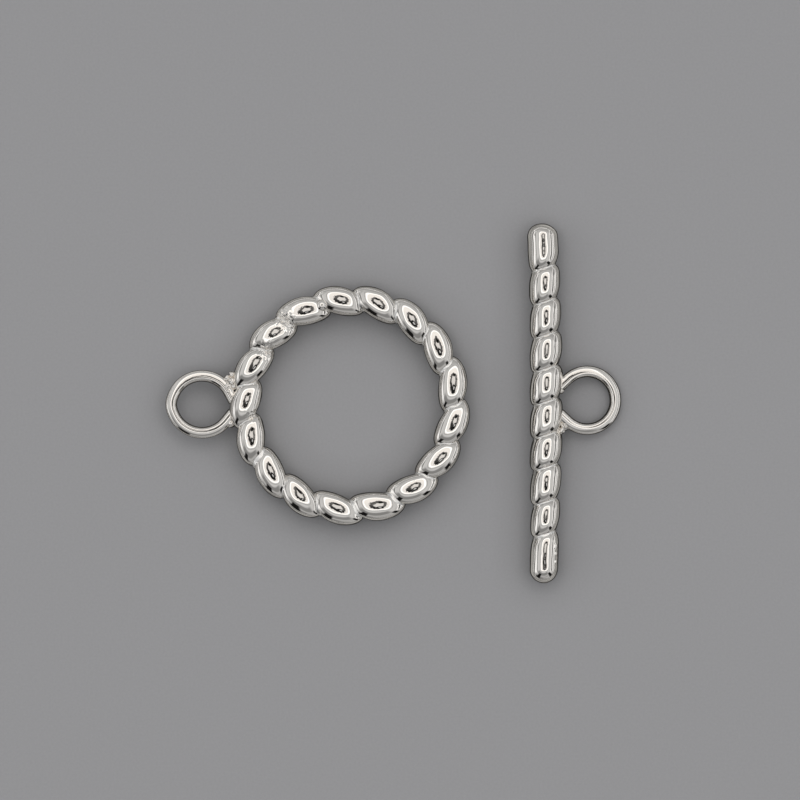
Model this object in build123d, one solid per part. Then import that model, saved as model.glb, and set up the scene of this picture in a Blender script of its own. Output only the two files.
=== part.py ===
from build123d import *
import math
import os

# Toggle clasp in two loose cast pieces, laid flat on a surface at Z = 0. Millimetres, +Z up.
# rope_ring: a ring cast as a rope of leaning beads, with a wire eye soldered to its left side.
# rope_bar: a bar of the same rope, with a wire eye soldered to the middle of its right side.
# Each bead is an ellipsoid whose long axis leans off the rope's line, so that the grooves slant.

# Rope of the ring
ring_centreline_diameter = 17.2
ring_bead_thickness = 2.58
ring_bead_pitch = 3.18
ring_bead_overlap = 0.80
ring_bead_lean = 20.0
ring_first_groove_angle = 0.5

# Wire eye of the ring, a round ring of wire
ring_eye_hole = 3.98
ring_eye_wire = 0.88
ring_eye_sink = 0.68
ring_eye_shift = 0.06

# Rope of the bar: middle beads between two long end beads with rounded tips
bar_length = 29.6
bar_bead_pitch = 2.73
bar_bead_overlap = 1.76
bar_bead_lean = 10.5
bar_middle_thickness = 2.62
bar_end_thickness = 2.20
bar_top_bead_length = 3.68
bar_bottom_bead_length = 4.07
bar_top_dome = 0.75
bar_bottom_dome = 1.25
bar_tip_thickness = 2.22
bar_tip_cover = 0.25
bar_bow = 0.22

# Wire eye of the bar, a round ring of wire
bar_eye_hole = 3.87
bar_eye_wire = 0.84
bar_eye_sink = 0.79
bar_eye_shift = 0.25

# How the two pieces lie beside each other
lay_gap = 4.59
lay_shift = 0.14

def bead_reach(length, thickness, lean):
    """Half the width that a leaning bead takes across the rope's line."""
    along = length / 2 * math.sin(math.radians(lean))
    across = thickness / 2 * math.cos(math.radians(lean))
    return math.hypot(along, across)


def bead(length, thickness):
    """Ellipsoid: half an ellipse spun about its long axis, which lies along X."""
    outline = EllipticalCenterArc((0, 0), length / 2, thickness / 2, arc_size=180)
    axis_line = Line(outline @ 1, outline @ 0)
    return revolve(make_face(outline + axis_line), Axis.X)


def bar_tip(length, dome, thickness):
    """Round rod from inside an end bead out along +X to a domed tip, spun about X."""
    radius = thickness / 2
    inner = CenterArc((0, 0), radius, 90, 90)
    wall = Line((0, radius), (length - dome, radius))
    tip = EllipticalCenterArc((length - dome, 0), dome, radius, arc_size=90)
    axis_line = Line(inner @ 1, (length, 0))
    return revolve(make_face(inner + wall + tip + axis_line), Axis.X)


def fused(pieces):
    """One solid of all the pieces that are cast or soldered together, joined one after another."""
    whole = pieces[0]
    for piece in pieces[1:]:
        whole = whole.fuse(piece)
    return whole


# Sizes of the ring that follow from the ones above
ring_radius = ring_centreline_diameter / 2
ring_bead_count = round(2 * math.pi * ring_radius / ring_bead_pitch)
ring_step = 360 / ring_bead_count
ring_bead_length = math.radians(ring_step) * ring_radius + ring_bead_overlap
ring_outer_radius = ring_radius + bead_reach(ring_bead_length, ring_bead_thickness, ring_bead_lean)
ring_height = ring_bead_thickness / 2
ring_eye_radius = (ring_eye_hole + ring_eye_wire) / 2
ring_eye_distance = ring_outer_radius + ring_eye_radius + ring_eye_wire / 2 - ring_eye_sink

# Sizes of the bar
bar_middle_count = round((bar_length - bar_top_bead_length - bar_bottom_bead_length) / bar_bead_pitch)
bar_step = (bar_length - bar_top_bead_length - bar_bottom_bead_length) / bar_middle_count
bar_bead_length = bar_step + bar_bead_overlap
bar_reach = bead_reach(bar_bead_length, bar_middle_thickness, bar_bead_lean)
bar_eye_radius = (bar_eye_hole + bar_eye_wire) / 2
bar_eye_distance = bar_reach + bar_eye_radius + bar_eye_wire / 2 - bar_eye_sink

# The bar lies rolled about its own length until the far edge of its eye touches the surface
bar_roll = math.degrees(
    math.asin((bar_middle_thickness - bar_eye_wire) / 2 / (bar_eye_distance + bar_eye_radius))
)


def bar_place(y):
    """Sideways bow and bead thickness at a place along the bar, full in the middle and least at the ends."""
    share = y / (bar_length / 2)
    bow = bar_bow * (1 - share * share)
    thickness = bar_middle_thickness - (bar_middle_thickness - bar_end_thickness) * share * share
    return bow, thickness


# Layout: the whole clasp is centred on the origin in X and Y
roll_cosine = math.cos(math.radians(bar_roll))
bar_x = ring_outer_radius + lay_gap + bar_reach
left_edge = -ring_eye_distance - ring_eye_radius - ring_eye_wire / 2
right_edge = bar_x + (bar_bow + bar_eye_distance + bar_eye_radius) * roll_cosine + bar_eye_wire / 2
top_edge = max(bar_length / 2 + lay_shift, ring_outer_radius)
bottom_edge = min(-bar_length / 2 + lay_shift, -ring_outer_radius)
centre = Pos(-(left_edge + right_edge) / 2, -(top_edge + bottom_edge) / 2, 0)

# Rope ring
ring_pieces = []
for index in range(ring_bead_count):
    angle = ring_first_groove_angle + (index + 0.5) * ring_step
    place = Rot(0, 0, angle) * Pos(ring_radius, 0, 0) * Rot(0, 0, 90 - ring_bead_lean)
    ring_pieces.append(place * bead(ring_bead_length, ring_bead_thickness))

ring_eye_place = Pos(-ring_eye_distance, ring_eye_shift, 0) * Rot(0, 0, 180)
ring_pieces.append(ring_eye_place * Torus(ring_eye_radius, ring_eye_wire / 2))
rope_ring = centre * Pos(0, 0, ring_height) * fused(ring_pieces)

# Rope bar, made along Y with its eye towards +X, then rolled and set beside the ring at the height
# where its lowest bead touches the surface
bar_pieces = []
bead_depths = []
dip = math.sin(math.radians(bar_bead_lean)) * math.sin(math.radians(bar_roll))
first_bead_y = -bar_length / 2 + bar_bottom_bead_length - bar_step / 2
last_bead_y = bar_length / 2 - bar_top_bead_length + bar_step / 2
for index in range(bar_middle_count):
    y = first_bead_y + (index + 1) * bar_step
    bow, thickness = bar_place(y)
    place = Pos(bow, y, 0) * Rot(0, 0, 90 - bar_bead_lean)
    bar_pieces.append(place * bead(bar_bead_length, thickness))
    stretch = math.sqrt(bar_bead_length**2 - thickness**2) / 2
    bead_depths.append(bow * math.sin(math.radians(bar_roll)) + math.hypot(thickness / 2, stretch * dip))

# Each end bead leans like the others but stops inside the rod that carries it on to its domed tip
for y, tip_y, dome, heading in [
    (first_bead_y, -bar_length / 2, bar_bottom_dome, -90),
    (last_bead_y, bar_length / 2, bar_top_dome, 90),
]:
    bow, thickness = bar_place(y)
    tip_length = abs(tip_y - y)
    end_bead = bead(2 * (tip_length - bar_tip_cover), thickness)
    bar_pieces.append(Pos(bow, y, 0) * Rot(0, 0, 90 - bar_bead_lean) * end_bead)
    bar_pieces.append(Pos(bow, y, 0) * Rot(0, 0, heading) * bar_tip(tip_length, dome, bar_tip_thickness))

bar_eye_place = Pos(bar_bow + bar_eye_distance, bar_eye_shift, 0)
bar_pieces.append(bar_eye_place * Torus(bar_eye_radius, bar_eye_wire / 2))
bar_height = max(bead_depths)
rope_bar = centre * Pos(bar_x, lay_shift, bar_height) * Rot(0, bar_roll, 0) * fused(bar_pieces)

# One file for each cast piece
os.makedirs("parts", exist_ok=True)
for name, solid in {"rope_ring": rope_ring, "rope_bar": rope_bar}.items():
    export_step(solid, f"parts/{name}.step")

print("beads in the ring", ring_bead_count, "and in the bar", bar_middle_count + 2)
print("roll of the bar in degrees", round(bar_roll, 2))
for name, spot in {
    "ring centre": centre * Pos(0, 0, ring_height),
    "ring eye": centre * Pos(0, 0, ring_height) * ring_eye_place,
    "bar middle": centre * Pos(bar_x, lay_shift, bar_height),
    "bar eye": centre * Pos(bar_x, lay_shift, bar_height) * Rot(0, bar_roll, 0) * bar_eye_place,
}.items():
    print(name, [round(value, 3) for value in spot.position])
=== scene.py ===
import math

import bpy
import numpy as np
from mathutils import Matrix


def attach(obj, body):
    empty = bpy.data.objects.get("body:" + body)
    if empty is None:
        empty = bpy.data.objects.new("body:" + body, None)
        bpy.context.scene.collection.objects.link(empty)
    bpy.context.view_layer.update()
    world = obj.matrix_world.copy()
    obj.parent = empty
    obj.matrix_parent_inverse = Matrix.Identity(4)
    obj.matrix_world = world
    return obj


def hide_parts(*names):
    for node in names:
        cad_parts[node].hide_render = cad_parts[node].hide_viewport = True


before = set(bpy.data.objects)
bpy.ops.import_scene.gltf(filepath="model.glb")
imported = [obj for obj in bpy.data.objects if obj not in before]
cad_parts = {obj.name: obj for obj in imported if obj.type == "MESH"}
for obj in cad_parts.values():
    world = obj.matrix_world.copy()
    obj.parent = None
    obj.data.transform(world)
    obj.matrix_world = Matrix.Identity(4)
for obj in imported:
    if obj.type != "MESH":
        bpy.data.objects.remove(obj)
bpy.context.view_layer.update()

# Rope of the ring. One casting of seventeen fat beads that lean over one another like the strands of
# a rope bent into a circle. Cast brass, tumbled smooth and plated with bright silver; the hollows
# between the beads keep a little roughness that tumbling doesn't reach. All sizes are millimetres.
millimetre = 0.001
ring_centre = np.array([-3.570, -0.140, 1.290])
ring_centreline_radius = 8.60
ring_half_height = 1.283
ring_half_width = 1.375
ring_side_power = 2.0
ring_top_power = 3.4
ring_groove_slant = math.radians(17)
ring_grooves = np.radians(
    [-0.2, 21.9, 43.3, 64.0, 85.1, 105.5, 127.5, 147.8, 168.6]
    + [188.9, 209.4, 231.0, 251.9, 273.7, 296.0, 317.1, 338.4]
)
ring_bead_spread = 0.008
ring_crest_twist = 0.12
ring_side_extra = 0.55
outer_side_extra = 0.06
arc_height = 0.79
arc_share = 0.88
ring_arc_fullness = 1.1
seam_depth = 0.362
seam_tilt = 0.24
seam_tilt_reach = 0.2
seam_margin = 0.01
seam_blend = 0.03
seam_wave_height = 0.006
groove_sharpness = 90.0
groove_crowding = 0.75
rows_per_bead = 44
section_steps = 120
section_crowding = 0.45
quarter_steps = 3000
casting_wave_height = 0.0065
casting_wave_length = 1.3
rough_wave_height = 0.095
rough_wave_length = 0.26


def crowded(count, crowding):
    """Shares from 0 up to 1, closer together at both ends: an even step less a sine of it."""
    even = np.arange(count) / count
    return even - crowding * np.sin(2 * math.pi * even) / (2 * math.pi)


def ripple(points, wave_length, seed):
    """Smooth unevenness between about -1 and 1: many sine waves added up, each with its own direction,
    length and start, over the root of their number."""
    draw = np.random.default_rng(seed)
    total = np.zeros(points.shape[:-1])
    wave_count = 14
    for _ in range(wave_count):
        heading = draw.normal(size=3)
        heading /= np.linalg.norm(heading)
        turns = points @ (heading / (wave_length * draw.uniform(0.7, 1.5)))
        total += np.sin(2 * math.pi * (turns + draw.uniform()))
    return total / math.sqrt(wave_count)


def seam_share(seam, others):
    """How much of a place is the seam at the bottom of a groove: 1 where it stands above the beads on
    both sides of it, 0 where a bead covers it, and in between over a short blend."""
    return np.clip(0.5 + (seam - np.max(others, axis=0)) / seam_blend, 0, 1)


def arc_drop(bend, fullness):
    """How far a bead falls away from its crest, as an ellipse does: its height times one less the root
    of one less the square of the fall. The fall is a power of the bend, which is 0 at the crest and 1
    at the groove."""
    fall = arc_share * np.abs(bend) ** fullness
    return arc_height * (1 - np.sqrt(np.maximum(1 - fall**2, 0.0)))


def section_angles():
    """Angles round a rope's section, from the outward side over the top, closer together at the top:
    an even step plus a share of its cosine."""
    even = np.arange(section_steps) * 2 * math.pi / section_steps
    return even + section_crowding * np.cos(even)


def highest_of(reaches, sharpness):
    """The largest of several surfaces, with a small fillet where two meet: the logarithm of the sum of
    their exponentials, divided by the sharpness."""
    top = np.max(reaches, axis=0)
    return top + np.log(np.sum(np.exp(sharpness * (reaches - top)), axis=0)) / sharpness


def spots(points, table):
    """Lumps and hollows added to a surface: each is a bell curve of the distance from its middle."""
    total = np.zeros(points.shape[:-1])
    for x, y, z, width, height in table:
        distance = np.sum((points - np.array([x, y, z])) ** 2, axis=-1)
        total += height * np.exp(-distance / width**2)
    return total


def grid_mesh(name, points, closed_rows, capped):
    """Mesh of a grid of points whose columns close round; rows close round too, or each end is capped
    by one point at its middle. Faces are the quads between neighbouring rows and columns."""
    rows, columns = points.shape[:2]
    number = np.arange(rows * columns).reshape(rows, columns)
    ahead = np.roll(number, -1, axis=0)
    beside = np.roll(number, -1, axis=1)
    corner = np.roll(ahead, -1, axis=1)
    quads = np.stack([number, ahead, corner, beside], axis=-1)
    if not closed_rows:
        quads = quads[:-1]
    faces = quads.reshape(-1, 4).tolist()
    vertices = points.reshape(-1, 3)
    if capped:
        poles = np.stack([points[0].mean(axis=0), points[-1].mean(axis=0)])
        vertices = np.concatenate([vertices, poles])
        first_pole = rows * columns
        low = np.stack([number[0], beside[0], np.full(columns, first_pole)], axis=-1)
        high = np.stack([beside[-1], number[-1], np.full(columns, first_pole + 1)], axis=-1)
        faces += low.tolist() + high.tolist()
    mesh = bpy.data.meshes.new(name)
    mesh.from_pydata((vertices * millimetre).tolist(), [], faces)
    mesh.polygons.foreach_set("use_smooth", np.ones(len(faces), dtype=bool))
    mesh.update()
    piece = bpy.data.objects.new(name, mesh)
    bpy.context.scene.collection.objects.link(piece)
    return piece


def keep_values(piece, name, values):
    """One number for each point of a piece, kept in its mesh for its material to read."""
    filled = np.zeros(len(piece.data.vertices), dtype=np.float32)
    filled[: values.size] = values.ravel()
    attribute = piece.data.attributes.new(name, "FLOAT", "POINT")
    attribute.data.foreach_set("value", filled)


def ring_rope(lumps, rough_places):
    """Points of the rope of the ring, and how deep in a groove, how rough and how much in a seam each
    is. At every station round the ring a closed curve lies in a plane that slants as the grooves do:
    its half width times a power of a cosine, its half height times a power of a sine, so that it is
    flatter on top than at the sides, less the drop of the nearest beads or of the seam between them,
    whichever stands highest. A bead drops more at its sides than on top."""
    draw = np.random.default_rng(seed=17)
    bead_count = len(ring_grooves)
    pitch = np.diff(np.append(ring_grooves, ring_grooves[0] + 2 * math.pi))
    lift = -np.abs(draw.normal(0, ring_bead_spread, bead_count))
    crest = 0.5 + draw.normal(0, ring_bead_spread, bead_count)
    bead = np.repeat(np.arange(bead_count), rows_per_bead)
    share = np.tile(crowded(rows_per_bead, groove_crowding), bead_count)
    turn = (ring_grooves[bead] + share * pitch[bead])[:, None]
    section = section_angles()[None, :]

    side_share = 1 + ring_side_extra * np.cos(section) ** 2 + outer_side_extra * np.cos(section)
    crest_twist = ring_crest_twist * np.cos(section) ** 3
    reaches = []
    for step in (-1, 0, 1):
        near = (bead + step) % bead_count
        near_turn = (turn - ring_grooves[near][:, None] + math.pi) % (2 * math.pi) - math.pi
        bend = 2 * (near_turn / pitch[near][:, None] - crest[near][:, None] - crest_twist)
        reaches.append(lift[near][:, None] - arc_drop(bend, ring_arc_fullness) * side_share)
    from_groove = (share - np.round(share)) * pitch[bead] * ring_centreline_radius
    from_groove = np.clip(from_groove, -seam_tilt_reach, seam_tilt_reach)[:, None]
    reaches.append(-seam_depth * side_share - seam_tilt * np.sign(np.cos(turn)) * from_groove)
    reaches = np.stack([np.broadcast_to(r, (turn.size, section_steps)) for r in reaches])
    drop = highest_of(reaches, groove_sharpness)
    in_seam = seam_share(reaches[-1], reaches[:-1])

    quarter = np.linspace(0, math.pi / 2, quarter_steps)
    wide = ring_half_width * np.cos(quarter) ** (2 / ring_side_power)
    high = ring_half_height * np.sin(quarter) ** (2 / ring_top_power)
    folded = np.arctan2(np.abs(np.sin(section)), np.abs(np.cos(section)))
    reach = np.interp(folded, np.arctan2(high, wide), np.hypot(wide, high)) + drop
    outward = np.stack([np.cos(turn), np.sin(turn), np.zeros_like(turn)], axis=-1)
    forward = np.stack([-np.sin(turn), np.cos(turn), np.zeros_like(turn)], axis=-1)
    slanted = outward * math.cos(ring_groove_slant) + forward * math.sin(ring_groove_slant)
    upward = np.array([0.0, 0.0, 1.0])
    heading = slanted * np.cos(section)[..., None] + upward * np.sin(section)[..., None]
    start = ring_centre + ring_centreline_radius * outward
    points = start + heading * reach[..., None]
    roughness = spots(points, rough_places)

    reach = reach + casting_wave_height * ripple(points, casting_wave_length, seed=3)
    low_enough = drop < seam_margin - seam_depth * side_share
    reach = reach + seam_wave_height * low_enough * ripple(points, 2 * rough_wave_length, seed=4)
    reach = reach + spots(points, lumps)
    reach = reach + rough_wave_height * roughness * ripple(points, rough_wave_length, seed=5)
    return start + heading * reach[..., None], np.clip(-drop, 0, 1), roughness, in_seam


# Flaws of this casting, each as its place, width and height: a lump beside one groove, and grooves
# where the casting or the solder stayed rough
ring_lumps = [
    (-5.45, 8.60, 1.75, 0.25, 0.10),
]
ring_rough_places = [
    (-8.95, 6.90, 1.9, 0.65, 1.0),
    (-10.5, 4.38, 1.9, 0.60, 0.9),
    (-11.5, -0.90, 1.9, 0.50, 0.5),
]
ring_points, ring_depth, ring_roughness, ring_seams = ring_rope(ring_lumps, ring_rough_places)
ring_piece = grid_mesh("ring_rope", ring_points, closed_rows=True, capped=False)
keep_values(ring_piece, "groove_depth", ring_depth)
keep_values(ring_piece, "roughened", ring_roughness)
keep_values(ring_piece, "in_seam", ring_seams)


def fill(tree, socket, value):
    """Sets an input to a number or a colour, or links another node's output to it."""
    if isinstance(value, bpy.types.NodeSocket):
        tree.links.new(value, socket)
    else:
        socket.default_value = value


def node(tree, kind, **inputs):
    """A shader node with its inputs filled by name."""
    made = tree.nodes.new(kind)
    for name, value in inputs.items():
        fill(tree, made.inputs[name], value)
    return made


def noise(tree, place, scale, detail):
    """Cloudy noise from 0 to 1 at a place."""
    return node(tree, "ShaderNodeTexNoise", Vector=place, Scale=scale, Detail=detail).outputs[0]


def calculate(tree, operation, first, second=0.0):
    """Result of one operation on two numbers or outputs."""
    made = tree.nodes.new("ShaderNodeMath")
    made.operation = operation
    fill(tree, made.inputs[0], first)
    fill(tree, made.inputs[1], second)
    return made.outputs[0]


def plus(tree, first, second):
    """Sum of two numbers or outputs."""
    return calculate(tree, "ADD", first, second)


def times(tree, first, second):
    """Product of two numbers or outputs."""
    return calculate(tree, "MULTIPLY", first, second)


def ease(tree, value, start, end, low, high):
    """A value that goes smoothly from low to high while the given one goes from start to end."""
    made = tree.nodes.new("ShaderNodeMapRange")
    made.interpolation_type = "SMOOTHSTEP"
    tree.links.new(value, made.inputs["Value"])
    for name, number in {"From Min": start, "From Max": end, "To Min": low, "To Max": high}.items():
        made.inputs[name].default_value = number
    return made.outputs["Result"]


def mix_colour(tree, share, first, second):
    """Colour between two others. The node's colours come after its numbers and vectors."""
    made = tree.nodes.new("ShaderNodeMix")
    made.data_type = "RGBA"
    for number, value in {0: share, 6: first, 7: second}.items():
        fill(tree, made.inputs[number], value)
    return made.outputs[2]


tarnish_share = 0.45
pit_dullness = 0.6
casting_dullness = 0.2
dull_roughness = 0.14
cloud_roughness = 0.015
seam_roughness = 0.26
scratch_roughness = 0.05
grain_height = 0.15
cloud_height = 0.5
scratch_height = 0.12
pit_height = 0.8
bump_distance = 0.00002


def tumbled_skin():
    """Group for every plated surface: fine tumbling scratches, tiny pits, a breath of tarnish in the
    hollows, and less polished seams tinted near white, a painted highlight along each groove. Gives the
    colour, the roughness and the height for a bump."""
    group = bpy.data.node_groups.new("tumbled_skin", "ShaderNodeTree")
    for name, kind, start in (
        ("Bright Colour", "NodeSocketColor", (0.93, 0.90, 0.86, 1)),
        ("Tarnish Colour", "NodeSocketColor", (0.50, 0.47, 0.42, 1)),
        ("Hollow", "NodeSocketFloat", 0.0),
        ("Roughened", "NodeSocketFloat", 0.0),
        ("Seam", "NodeSocketFloat", 0.0),
        ("Base Roughness", "NodeSocketFloat", 0.06),
        ("Scratch Share", "NodeSocketFloat", 0.5),
    ):
        socket = group.interface.new_socket(name=name, in_out="INPUT", socket_type=kind)
        socket.default_value = start
    group.interface.new_socket(name="Colour", in_out="OUTPUT", socket_type="NodeSocketColor")
    group.interface.new_socket(name="Roughness", in_out="OUTPUT", socket_type="NodeSocketFloat")
    group.interface.new_socket(name="Height", in_out="OUTPUT", socket_type="NodeSocketFloat")
    given = group.nodes.new("NodeGroupInput").outputs
    place = group.nodes.new("ShaderNodeTexCoord").outputs["Object"]

    cloud = noise(group, place, scale=900.0, detail=3.0)
    grain = noise(group, place, scale=9000.0, detail=2.0)
    turned = (0.2, 0.3, 0.9)
    stretch = (1.0, 14.0, 6.0)
    along = node(group, "ShaderNodeMapping", Vector=place, Rotation=turned, Scale=stretch).outputs[0]
    scratch = noise(group, along, scale=1300.0, detail=4.0)
    scratch = ease(group, scratch, 0.60, 0.70, 0.0, 1.0)
    pits = node(group, "ShaderNodeTexVoronoi", Vector=place, Scale=2100.0).outputs["Distance"]
    pits = ease(group, pits, 0.05, 0.16, 1.0, 0.0)
    pits = times(group, pits, ease(group, cloud, 0.55, 0.66, 0.0, 1.0))

    hollow = ease(group, given["Hollow"], 0.50, 0.70, 0.0, 1.0)
    dull = times(group, hollow, ease(group, cloud, 0.35, 0.65, 0.35, 1.0))
    dull = plus(group, dull, times(group, given["Roughened"], casting_dullness))
    dull = calculate(group, "MINIMUM", plus(group, dull, times(group, pits, pit_dullness)), 1.0)
    tarnished = times(group, dull, tarnish_share)
    colour = mix_colour(group, tarnished, given["Bright Colour"], given["Tarnish Colour"])
    # Painted highlight: the seam's colour is lifted near white so that the groove line shows bright
    colour = mix_colour(group, given["Seam"], colour, (0.99, 0.98, 0.96, 1))

    marks = times(group, scratch, given["Scratch Share"])
    rough = plus(group, given["Base Roughness"], times(group, dull, dull_roughness))
    rough = plus(group, rough, times(group, cloud, cloud_roughness))
    rough = plus(group, rough, times(group, given["Seam"], seam_roughness))
    rough = plus(group, rough, times(group, marks, scratch_roughness))

    height = times(group, grain, grain_height)
    height = plus(group, height, times(group, cloud, cloud_height))
    height = calculate(group, "SUBTRACT", height, times(group, marks, scratch_height))
    height = calculate(group, "SUBTRACT", height, times(group, pits, pit_height))
    result = group.nodes.new("NodeGroupOutput").inputs
    for name, value in {"Colour": colour, "Roughness": rough, "Height": height}.items():
        group.links.new(value, result[name])
    return group


def plated(name, skin, base_roughness, scratch_share, bump):
    """Bright plated metal: the skin group's colour and roughness on a bare metal, and its bump."""
    material = bpy.data.materials.new(name)
    material.use_nodes = True
    tree = material.node_tree
    shader = tree.nodes["Principled BSDF"]
    shader.inputs["Metallic"].default_value = 1.0
    wear = tree.nodes.new("ShaderNodeGroup")
    wear.node_tree = skin
    wear.inputs["Base Roughness"].default_value = base_roughness
    wear.inputs["Scratch Share"].default_value = scratch_share
    for kept_name, socket in {"groove_depth": "Hollow", "roughened": "Roughened", "in_seam": "Seam"}.items():
        kept = tree.nodes.new("ShaderNodeAttribute")
        kept.attribute_name = kept_name
        tree.links.new(kept.outputs["Fac"], wear.inputs[socket])
    height = wear.outputs["Height"]
    raised = node(tree, "ShaderNodeBump", Strength=bump, Distance=bump_distance, Height=height)
    tree.links.new(wear.outputs["Colour"], shader.inputs["Base Color"])
    tree.links.new(wear.outputs["Roughness"], shader.inputs["Roughness"])
    tree.links.new(raised.outputs["Normal"], shader.inputs["Normal"])
    return material


tumbled = tumbled_skin()
cast_silver = plated("cast_silver_plate", tumbled, base_roughness=0.02, scratch_share=0.5, bump=0.2)
ring_piece.data.materials.append(cast_silver)
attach(ring_piece, "root")
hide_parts("rope_ring")

# Eye of the ring. Drawn brass wire bent into a slightly pointed oval and plated with the ring, its
# two ends run into the outer side of the rope.
ring_eye_centre = np.array([-15.75, -0.08, 1.29])
ring_eye_half_width = 2.46
ring_eye_half_height = 2.34
ring_eye_upper_opening = math.radians(27)
ring_eye_lower_opening = math.radians(37)
wire_half_width = 0.465
wire_half_height = 0.405
wire_squareness = 2.5
wire_tilt = math.radians(16)
eye_end_reach = 0.95
ring_eye_point_share = 0.03
eye_point_spread = 0.30
path_steps = 240
end_steps = 24
wire_steps = 56


def carried_wire(path, half_width, half_height, tilt):
    """Wire: a superellipse carried along a path, square to it and tilted a little, so that its top
    slopes down towards the outside of the bend. The superellipse is a circle's cosine and sine over
    the root of the sum of their powers."""
    along = np.gradient(path, axis=0)
    along /= np.linalg.norm(along, axis=-1, keepdims=True)
    across = np.cross(along, np.array([0.0, 0.0, 1.0]))
    across /= np.linalg.norm(across, axis=-1, keepdims=True)
    up = np.cross(across, along)
    turn = np.arange(wire_steps) * 2 * math.pi / wire_steps
    powers = np.abs(np.cos(turn)) ** wire_squareness + np.abs(np.sin(turn)) ** wire_squareness
    corner = powers ** (-1 / wire_squareness)
    wide = half_width * corner * np.cos(turn)
    high = half_height * corner * np.sin(turn)
    sideways = across[:, None, :] * (wide * math.cos(tilt) + high * math.sin(tilt))[:, None]
    upwards = up[:, None, :] * (high * math.cos(tilt) - wide * math.sin(tilt))[:, None]
    return path[:, None, :] + sideways + upwards


def open_loop(half_width, half_height, upper_opening, lower_opening, end_reach, point_share):
    """Path of an eye: most of an oval, open on its right side, where each end runs on straight. The
    left tip is drawn out a little, by a bell curve of the angle from it."""
    angle = np.linspace(upper_opening, 2 * math.pi - lower_opening, path_steps)
    tip = 1 + point_share * np.exp(-(((angle - math.pi) / eye_point_spread) ** 2))
    oval = np.stack([half_width * tip * np.cos(angle), half_height * np.sin(angle), 0 * angle], axis=-1)
    first = oval[0] - oval[1]
    last = oval[-1] - oval[-2]
    reach = np.linspace(end_reach, 0, end_steps, endpoint=False)[:, None]
    start = oval[0] + reach * first / np.linalg.norm(first)
    end = oval[-1] + reach[::-1] * last / np.linalg.norm(last)
    return np.concatenate([start, oval, end])


ring_eye_path = open_loop(
    ring_eye_half_width,
    ring_eye_half_height,
    ring_eye_upper_opening,
    ring_eye_lower_opening,
    eye_end_reach,
    ring_eye_point_share,
)
ring_eye_points = ring_eye_centre + carried_wire(ring_eye_path, wire_half_width, wire_half_height, wire_tilt)
ring_eye_piece = grid_mesh("ring_eye_wire", ring_eye_points, closed_rows=False, capped=True)
drawn_silver = plated("drawn_silver_plate", tumbled, base_roughness=0.03, scratch_share=1.0, bump=0.2)
ring_eye_piece.data.materials.append(drawn_silver)
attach(ring_eye_piece, "root")
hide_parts("rope_ring")

# Solder of the ring's eye. Small drops of silver solder left bumpy where the upper end of the wire
# was run into the rope, a smoother fillet at the lower end, and a round drop caught in a groove at the
# top left; plated over with the rest. Each drop is its place, its radius and its unevenness.
drop_columns = 36
drop_rows = 24
ring_solder_drops = [
    (-5.88, 8.05, 2.08, 0.52, 0.0),
    (-13.62, 1.42, 1.35, 0.42, 0.08),
    (-13.12, 1.45, 1.35, 0.32, 0.08),
    (-13.30, 1.80, 1.55, 0.36, 0.12),
    (-13.66, 2.02, 1.45, 0.30, 0.14),
    (-13.28, 2.36, 1.40, 0.26, 0.12),
    (-13.58, 0.98, 1.55, 0.22, 0.05),
    (-13.42, -1.62, 1.25, 0.40, 0.03),
]


def solder(name, drops):
    """Drops of solder: balls of the given radius, their skin pushed in and out by a share of it."""
    turn = np.arange(drop_columns) * -2 * math.pi / drop_columns
    rise = (np.arange(drop_rows) + 0.5) / drop_rows * math.pi - math.pi / 2
    level = np.cos(rise)[:, None]
    upward = np.broadcast_to(np.sin(rise)[:, None], (drop_rows, drop_columns))
    ball = np.stack([level * np.cos(turn), level * np.sin(turn), upward], axis=-1)
    made = []
    for number, (x, y, z, radius, unevenness) in enumerate(drops):
        points = np.array([x, y, z]) + radius * ball
        pushed = unevenness * ripple(points, 0.5 * radius + 0.1, seed=40 + number)
        points = points + radius * ball * pushed[..., None]
        made.append(grid_mesh(f"{name}_{number + 1}", points, closed_rows=False, capped=True))
    return made


melted_silver = plated("melted_silver_plate", tumbled, base_roughness=0.07, scratch_share=0.2, bump=0.5)
for drop in solder("ring_solder", ring_solder_drops):
    drop.data.materials.append(melted_silver)
    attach(drop, "root")
    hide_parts("rope_ring")

# Rope of the bar. Cast like the ring: eight plain beads between two long end beads with domed tips.
# The beads of the bar lean less than those of the ring, and their crests lie nearer their lower
# ends. It lies rolled a little about its own length, on its beads and the far edge of its eye.
bar_middle = np.array([12.361, 0.0, 1.344])
bar_roll = math.radians(9.0)
bar_bow = 0.22
bar_arc_fullness = 1.3
bar_top_bend = 0.15
bar_half_length = 14.8
bar_grooves = np.array([-10.716, -8.041, -5.201, -2.568, 0.148, 2.864, 5.621, 8.378, 11.135])
bar_bead_radius = np.array([1.180, 1.230, 1.292, 1.341, 1.358, 1.358, 1.341, 1.300, 1.285, 1.255])
bar_end_pitch = 2.73
bar_tip_rows = 64
bar_tip_start = 0.02
bar_shoulder = 0.5
bar_shoulder_limit = 1.5
bar_bend_limit = 1.8
bar_groove_slope = 0.325
bar_slope_fade = 3.2
bar_crest_slope = 0.12
bar_crest_twist = 0.25
bar_crest_share = 0.505
bar_top_share = 0.18
bar_flatness = 0.965
bar_bottom_dome = 1.25
bar_top_dome = 1.05


def rolled(points):
    """Points of the bar turned about its own length, Y, as it lies."""
    turned = points.copy()
    turned[..., 0] = points[..., 0] * math.cos(bar_roll) + points[..., 2] * math.sin(bar_roll)
    turned[..., 2] = points[..., 2] * math.cos(bar_roll) - points[..., 0] * math.sin(bar_roll)
    return turned


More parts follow.
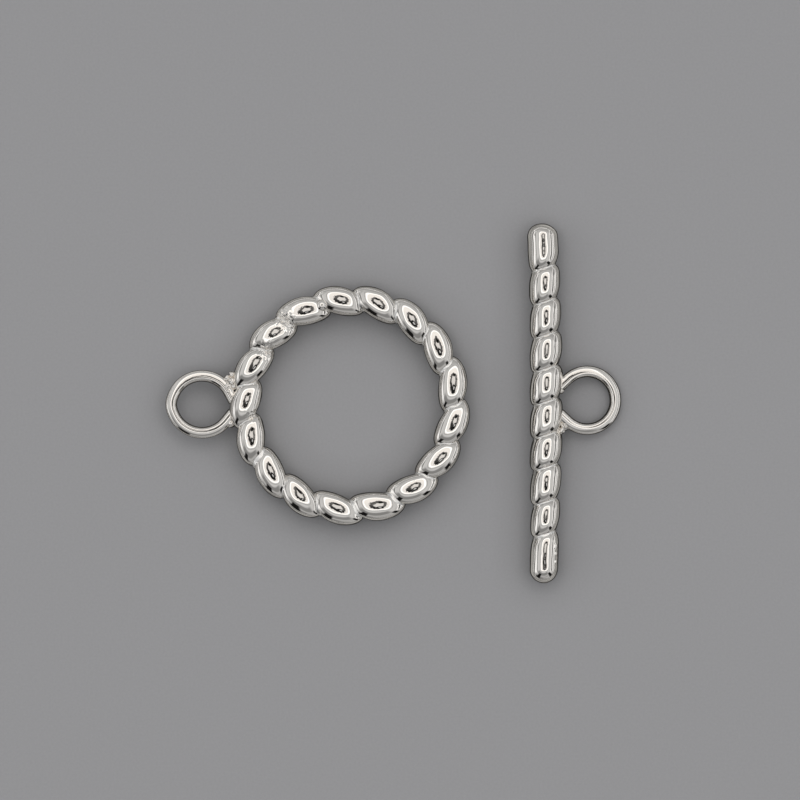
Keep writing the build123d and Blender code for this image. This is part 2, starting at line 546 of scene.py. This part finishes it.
def bar_rope(lumps):
    """Points of the rope of the bar, and how deep in a groove and how much in a seam each is. At every
    station along the bar a closed curve lies in a plane that slants as the grooves do. Each bead is an
    arc along the bar, highest at its crest and cut off by its neighbours or by the seam between them,
    and both tips are rounded by the root of one less the square of the way left to the end."""
    lower = np.concatenate([[bar_grooves[0] - bar_end_pitch], bar_grooves])
    upper = np.concatenate([bar_grooves, [bar_grooves[-1] + bar_end_pitch]])
    middle_rows = [
        low + (high - low) * crowded(rows_per_bead, groove_crowding)
        for low, high in zip(bar_grooves[:-1], bar_grooves[1:])
    ]
    tip_share = np.sin(np.linspace(bar_tip_start, 1, bar_tip_rows, endpoint=False) * math.pi / 2)
    bottom_rows = -bar_half_length + (bar_grooves[0] + bar_half_length) * (1 - np.sqrt(1 - tip_share**2))
    top_rows = bar_half_length - (bar_half_length - bar_grooves[-1]) * (1 - np.sqrt(1 - tip_share**2))
    station = np.concatenate([bottom_rows, *middle_rows, top_rows[::-1]])[:, None]
    section = section_angles()[None, :]
    sideways = bar_bead_radius.mean() * np.cos(section)
    top_share = bar_top_share * np.sin(section) ** 2
    side_share = 1 - bar_top_share + top_share + outer_side_extra * np.cos(section)
    crest_line = (bar_crest_slope - bar_groove_slope) * sideways + bar_crest_twist * sideways**3

    reaches = []
    for number, (low, high, radius) in enumerate(zip(lower, upper, bar_bead_radius)):
        end_bead = number in (0, len(bar_bead_radius) - 1)
        pitch = high - low
        share = (station - low) / pitch
        crest = bar_crest_share + crest_line / pitch
        if end_bead:
            inward = (station - low if number else high - station) / pitch
            bend = np.clip(1 - inward / bar_shoulder, 0, bar_shoulder_limit)
        else:
            even = np.clip(2 * share - 1, -bar_bend_limit, bar_bend_limit)
            lean = -(2 * crest - 1) / (1 - (2 * crest - 1) ** 2)
            bend = even + lean * (1 - even**2)
        reaches.append(radius - arc_drop(bend, bar_arc_fullness) * side_share)
    level_radius = np.interp(station, (bar_grooves[:-1] + bar_grooves[1:]) / 2, bar_bead_radius[1:-1])
    nearest_groove = bar_grooves[np.abs(station - bar_grooves).argmin(axis=1)][:, None]
    from_groove = np.clip(station - nearest_groove, -seam_tilt_reach, seam_tilt_reach)
    seam = seam_depth * side_share + seam_tilt * from_groove
    reaches.append(level_radius - seam)
    reaches = np.stack([np.broadcast_to(r, (station.size, section_steps)) for r in reaches])
    reach = highest_of(reaches, groove_sharpness)
    in_seam = seam_share(reaches[-1], reaches[:-1])
    bottom_left = np.clip((station + bar_half_length) / bar_bottom_dome, 0, 1)
    top_left = np.clip((bar_half_length - station) / bar_top_dome, 0, 1)
    dome = np.sqrt(1 - (1 - bottom_left) ** 2) * np.sqrt(1 - (1 - top_left) ** 2)
    off_the_tips = dome > 0.999
    depth = np.clip(1 - reach / bar_bead_radius.max(), 0, 1) * off_the_tips
    slope_share = np.clip((bar_half_length - np.abs(station)) / bar_slope_fade, 0, 1)
    slope = bar_groove_slope * slope_share**2 * (3 - 2 * slope_share)

    bow = bar_bow * (1 - (station / bar_half_length) ** 2)
    bow = bow - bar_top_bend * np.clip(station / bar_half_length, 0, 1) ** 3

    def placed(reach):
        """Points at a reach from the bar's bowed line, on the slanted planes, rolled and in place."""
        across = reach * dome * np.cos(section)
        along = station + slope * across
        flat = np.stack([across + bow, along, bar_flatness * reach * dome * np.sin(section)], axis=-1)
        return bar_middle + rolled(flat)

    points = placed(reach)
    reach = reach + casting_wave_height * ripple(points, casting_wave_length, seed=11)
    reach = reach + spots(points, lumps)
    return placed(reach), depth, in_seam


# Ripples along the tops of both end beads, and three lumps on the right side of the lower one, each as
# its place, width and height
bar_lumps = [
    (12.32, 14.02, 2.50, 0.26, 0.011),
    (12.26, 13.50, 2.50, 0.22, 0.010),
    (12.36, 13.08, 2.50, 0.20, 0.010),
    (12.28, 12.62, 2.50, 0.22, 0.010),
    (12.34, 12.16, 2.50, 0.22, 0.010),
    (12.30, -12.30, 2.50, 0.24, 0.008),
    (12.24, -12.90, 2.50, 0.24, 0.008),
    (13.40, -11.75, 2.00, 0.15, 0.06),
    (13.45, -12.35, 1.95, 0.13, 0.06),
    (13.38, -13.00, 1.90, 0.14, 0.05),
]
bar_points, bar_depth, bar_seams = bar_rope(bar_lumps)
bar_piece = grid_mesh("bar_rope", bar_points, closed_rows=False, capped=True)
keep_values(bar_piece, "groove_depth", bar_depth)
keep_values(bar_piece, "in_seam", bar_seams)
bar_piece.data.materials.append(cast_silver)
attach(bar_piece, "root")
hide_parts("rope_bar")

# Eye of the bar. The same drawn wire bent round, its ends run into the side of the middle beads.
bar_eye_centre = np.array([15.960, 0.250, 0.788])
bar_eye_radius = 2.375
bar_eye_opening = math.radians(47)

bar_eye_path = open_loop(
    bar_eye_radius,
    bar_eye_radius,
    bar_eye_opening,
    bar_eye_opening,
    eye_end_reach,
    point_share=0.0,
)
bar_eye_path[:, 0] *= -1
bar_eye_points = carried_wire(bar_eye_path, wire_half_width, wire_half_height, -wire_tilt)
bar_eye_points = bar_eye_centre + rolled(bar_eye_points)
bar_eye_piece = grid_mesh("bar_eye_wire", bar_eye_points, closed_rows=False, capped=True)
bar_eye_piece.data.materials.append(drawn_silver)
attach(bar_eye_piece, "root")
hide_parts("rope_bar")

# Solder of the bar's eye. It ran into a ridged fillet at the lower end of the wire and a small one at
# the upper end, and one tiny drop sits in a groove further down.
bar_solder_drops = [
    (14.10, -1.88, 1.08, 0.38, 0.12),
    (13.80, -2.22, 1.15, 0.32, 0.14),
    (14.46, -1.62, 0.98, 0.28, 0.10),
    (13.80, 1.05, 1.18, 0.27, 0.05),
    (12.39, -5.08, 2.25, 0.17, 0.04),
]
for drop in solder("bar_solder", bar_solder_drops):
    drop.data.materials.append(melted_silver)
    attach(drop, "root")
    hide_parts("rope_bar")

# Floor. A matt grey sheet under the clasp, lit only by the tent round it. It darkens a little close to
# the metal, a painted shade in its colour, and for mirror rays it has painted reflection colours: dark
# close to the metal, and paler and patchier further off than it lies there, as in the photograph.
floor_half_side = 0.5
floor_mesh = bpy.data.meshes.new("floor")
corners = [(x * floor_half_side, y * floor_half_side, 0.0) for x, y in ((-1, -1), (1, -1), (1, 1), (-1, 1))]
floor_mesh.from_pydata(corners, [], [(0, 1, 2, 3)])
floor_piece = bpy.data.objects.new("floor", floor_mesh)
bpy.context.scene.collection.objects.link(floor_piece)

paper_darker = (0.488, 0.491, 0.509, 1)
paper_lighter = (0.561, 0.564, 0.584, 1)
paper_painted_shade = (0.22, 0.22, 0.225, 1)
shade_distance = 0.0035
shade_most = 0.36
painted_reflection_shade = (0.05, 0.048, 0.045, 1)
painted_reflection_darker = (0.33, 0.33, 0.325, 1)
painted_reflection_lighter = (0.86, 0.86, 0.845, 1)
near_length = 0.0019
far_length = 0.0032
patch_shift = 3.5


def matt_paper():
    """Matt grey paper with a fine grain. Painted shade darkens its colour where metal is near, and mirror
    rays see painted reflection colours instead: dark close to the metal and pale in patches further off."""
    material = bpy.data.materials.new("matt_paper")
    material.use_nodes = True
    tree = material.node_tree
    shader = tree.nodes["Principled BSDF"]
    place = tree.nodes.new("ShaderNodeTexCoord").outputs["Object"]
    fibre = noise(tree, place, scale=5200.0, detail=3.0)
    paper_grey = mix_colour(tree, fibre, paper_darker, paper_lighter)
    # Painted shade: the paper's colour darkens where ambient occlusion finds metal close by
    near_metal = node(tree, "ShaderNodeAmbientOcclusion", Distance=shade_distance)
    near_metal.samples = 4
    shade = ease(tree, near_metal.outputs["AO"], 0.45, 1.0, shade_most, 0.0)
    paper_grey = mix_colour(tree, shade, paper_grey, paper_painted_shade)

    # Painted reflection: mirror rays get a colour of their own, painted shade close to the metal and paler
    # patches further off
    ray = tree.nodes.new("ShaderNodeLightPath").outputs
    shifted = tree.nodes.new("ShaderNodeVectorMath")
    fill(tree, shifted.inputs[0], place)
    fill(tree, shifted.inputs[1], times(tree, ray["Ray Length"], patch_shift))
    patches = noise(tree, shifted.outputs[0], scale=170.0, detail=2.0)
    patches = ease(tree, patches, 0.47, 0.58, 0.0, 1.0)
    painted_reflection_far = mix_colour(tree, patches, painted_reflection_darker, painted_reflection_lighter)
    distant = ease(tree, ray["Ray Length"], near_length, far_length, 0.0, 1.0)
    painted_reflection_grey = mix_colour(tree, distant, painted_reflection_shade, painted_reflection_far)
    seen_grey = mix_colour(tree, ray["Is Glossy Ray"], paper_grey, painted_reflection_grey)
    tree.links.new(seen_grey, shader.inputs["Base Color"])
    shader.inputs["Roughness"].default_value = 0.9
    shader.inputs["Specular IOR Level"].default_value = 0.2
    return material


floor_mesh.materials.append(matt_paper())

# Light. A white tent with a square lit panel overhead, which has an opening for the camera and a dark
# rig round its lens. The sides are greyer, with folds and ledges, darker in front, and two dark posts
# stand at the front corners. Angles are in degrees, most of them from straight up.
tent = bpy.data.worlds.new("light_tent")
tent.use_nodes = True
bpy.context.scene.world = tent
sky = tent.node_tree
direction = sky.nodes.new("ShaderNodeTexCoord").outputs["Generated"]
towards = node(sky, "ShaderNodeSeparateXYZ", Vector=direction).outputs
from_above = times(sky, calculate(sky, "ARCCOSINE", towards[2]), 180 / math.pi)
squares = [calculate(sky, "POWER", towards[axis], 2.0) for axis in (0, 1)]
level_out = calculate(sky, "MAXIMUM", calculate(sky, "SQRT", plus(sky, *squares)), 0.0001)
per_level = calculate(sky, "DIVIDE", from_above, level_out)
rightward = times(sky, towards[0], per_level)
backward = times(sky, towards[1], per_level)
bearing_back = calculate(sky, "DIVIDE", plus(sky, towards[1], times(sky, towards[0], 0.25)), level_out)


def rounded_distance(middle_x, middle_y, half_x, half_y, squareness):
    """Distance from the middle of a rounded square overhead, 1 at its edge: the root of the sum of the
    powers of the two angles, each over its half width."""
    parts = []
    for angle, middle, half in ((rightward, middle_x, half_x), (backward, middle_y, half_y)):
        away = calculate(sky, "DIVIDE", calculate(sky, "SUBTRACT", angle, middle), half)
        parts.append(calculate(sky, "POWER", calculate(sky, "ABSOLUTE", away), squareness))
    return calculate(sky, "POWER", plus(sky, *parts), 1 / squareness)


def grey(level, warmth=0.0):
    """A light's grey, warmed a little: more red and less blue."""
    return (level * (1 + warmth), level, level * (1 - warmth), 1)


def painted(under, share, level):
    """The tent's light with a share of a grey laid over it."""
    return mix_colour(sky, share, under, grey(level))


# Sides of the tent: greyer lower down, on the left and at the back, and darkest in front
high_grey = 0.58
low_grey = 0.38
left_grey = 0.40
back_grey = 0.42
front_grey = 0.23
light = painted(grey(high_grey), ease(sky, from_above, 40.0, 86.0, 0.0, 1.0), low_grey)
light = painted(light, ease(sky, rightward, -82.0, -64.0, 0.7, 0.0), left_grey)
light = painted(light, ease(sky, backward, 48.0, 72.0, 0.0, 0.6), back_grey)
in_front = ease(sky, bearing_back, -0.75, -0.35, 1.0, 0.0)
in_front = times(sky, in_front, ease(sky, from_above, 31.0, 39.0, 0.0, 1.0))
light = painted(light, in_front, front_grey)

# Folds that run from front to back beside the panel, bright and dark
bright_cloth = 1.05
dark_fold = 0.09
fold_width = 22.0
fold_length = 240.0
fold_place = node(
    sky,
    "ShaderNodeCombineXYZ",
    X=calculate(sky, "DIVIDE", rightward, fold_width),
    Y=calculate(sky, "DIVIDE", backward, fold_length),
)
folds = noise(sky, fold_place.outputs[0], scale=2.2, detail=3.0)
beside_panel = ease(sky, calculate(sky, "ABSOLUTE", rightward), 42.0, 58.0, 0.0, 1.0)
light = painted(light, times(sky, ease(sky, folds, 0.52, 0.57, 0.0, 0.95), beside_panel), bright_cloth)
light = painted(light, times(sky, ease(sky, folds, 0.42, 0.47, 0.9, 0.0), beside_panel), dark_fold)

# Level ledges low on the sides, bright and dark, fewer of them in front and few dark ones at the back
dark_ledge = 0.08
ledge_height = 9.0
ledge_turns = 0.7
ledge_place = node(
    sky,
    "ShaderNodeCombineXYZ",
    X=calculate(sky, "DIVIDE", from_above, ledge_height),
    Y=times(sky, towards[0], ledge_turns),
    Z=times(sky, towards[1], ledge_turns),
)
ledges = noise(sky, ledge_place.outputs[0], scale=0.85, detail=2.0)
low_down = ease(sky, from_above, 52.0, 60.0, 0.0, 1.0)
low_down = times(sky, low_down, ease(sky, backward, -45.0, -15.0, 0.25, 1.0))
dark_low_down = times(sky, low_down, ease(sky, bearing_back, 0.3, 0.8, 1.0, 0.2))
light = painted(light, times(sky, ease(sky, ledges, 0.52, 0.56, 0.0, 0.9), low_down), bright_cloth)
light = painted(light, times(sky, ease(sky, ledges, 0.42, 0.46, 0.9, 0.0), dark_low_down), dark_ledge)

# The lit panel, the thin line of its frame, and its opening, which is greyer towards the front. Each
# rounded square is given by its middle to the right and back, its half widths and its squareness.
panel_light = grey(1.25, 0.01)
frame_grey = 0.20
opening_front = grey(0.84, 0.03)
opening_back = grey(0.92, 0.04)
panel = rounded_distance(3.0, 14.0, 31.5, 34.0, 2.8)
light = mix_colour(sky, ease(sky, panel, 0.93, 1.06, 1.0, 0.0), light, panel_light)
frame_line = times(sky, ease(sky, panel, 1.03, 1.08, 0.0, 0.5), ease(sky, panel, 1.11, 1.18, 1.0, 0.0))
light = painted(light, frame_line, frame_grey)
opening = rounded_distance(3.0, 13.0, 26.8, 29.6, 2.6)
inside = mix_colour(sky, ease(sky, backward, 0.0, 32.0, 0.0, 1.0), opening_front, opening_back)
light = mix_colour(sky, ease(sky, opening, 0.92, 1.03, 1.0, 0.0), light, inside)

# The rig round the lens: a grey oval with a black uneven edge, and two black fittings, the front one
# with a pale middle
rig_light = grey(0.55, 0.02)
rig_black = 0.006
black = 0.008
wobble_size = 0.9
wobble = noise(sky, direction, scale=11.0, detail=2.0)
wobble = times(sky, calculate(sky, "SUBTRACT", wobble, 0.5), wobble_size)
rig = plus(sky, rounded_distance(4.0, 7.0, 15.6, 18.6, 2.2), wobble)
rig_hole = plus(sky, rounded_distance(4.6, 8.2, 8.0, 11.8, 2.0), wobble)
rig_edge = times(sky, ease(sky, rig_hole, 0.92, 1.08, 0.0, 1.0), ease(sky, rig, 0.98, 1.06, 1.0, 0.0))
rig_side = plus(sky, times(sky, rightward, 0.6), backward)
rig_edge = times(sky, rig_edge, ease(sky, rig_side, -12.0, 12.0, 1.0, 0.85))
light = mix_colour(sky, ease(sky, rig, 0.85, 1.0, 0.4, 0.0), light, rig_light)
light = painted(light, rig_edge, rig_black)
for middle_x, middle_y, half_x, half_y, level in (
    (6.0, 19.0, 6.0, 5.0, black),
    (6.0, -4.0, 7.0, 5.5, black),
    (6.0, -4.0, 3.0, 2.2, 0.6),
):
    fitting = rounded_distance(middle_x, middle_y, half_x, half_y, 2.0)
    light = painted(light, ease(sky, fitting, 0.75, 1.15, 1.0, 0.0), level)

# The two posts, each by its bearing from the right, its half width and how far from straight up it ends
post_blur = 3
post_top_blur = 6
for bearing, half_width, top in ((236.0, 11.0, 44.0), (318.0, 7.5, 52.0)):
    along_x = times(sky, towards[0], math.cos(math.radians(bearing)))
    along_y = times(sky, towards[1], math.sin(math.radians(bearing)))
    facing = calculate(sky, "DIVIDE", plus(sky, along_x, along_y), level_out)
    outer = math.cos(math.radians(half_width + post_blur))
    inner = math.cos(math.radians(half_width - post_blur))
    post = ease(sky, facing, outer, inner, 0.0, 1.0)
    post = times(sky, post, ease(sky, from_above, top, top + post_top_blur, 0.0, 1.0))
    light = painted(light, post, black)

# A faint line just above the level of the floor, and an even grey below it
horizon_share = 0.15
horizon_grey = 0.10
below_grey = 0.40
horizon = times(sky, ease(sky, towards[2], 0.0, 0.02, 0.0, 1.0), ease(sky, towards[2], 0.05, 0.08, 1.0, 0.0))
light = painted(light, times(sky, horizon, horizon_share), horizon_grey)
light = painted(light, ease(sky, towards[2], -0.05, 0.0, 1.0, 0.0), below_grey)
sky.links.new(light, sky.nodes["Background"].inputs["Color"])

# Camera. It looks straight down from well above, and the photograph's width is that of the floor
# under it.
camera_right = 0.000545
camera_back = 0.000272
camera_height = 0.450
picture_width = 0.06584
sensor_width = 36.0
camera_data = bpy.data.cameras.new("camera")
camera_data.sensor_width = sensor_width
camera_data.lens = sensor_width * (camera_height - ring_centre[2] * millimetre) / picture_width
camera_data.clip_start = 0.01
camera = bpy.data.objects.new("camera", camera_data)
camera.location = (camera_right, camera_back, camera_height)
bpy.context.scene.collection.objects.link(camera)
bpy.context.scene.camera = camera
bpy.context.scene.view_settings.view_transform = "Standard"
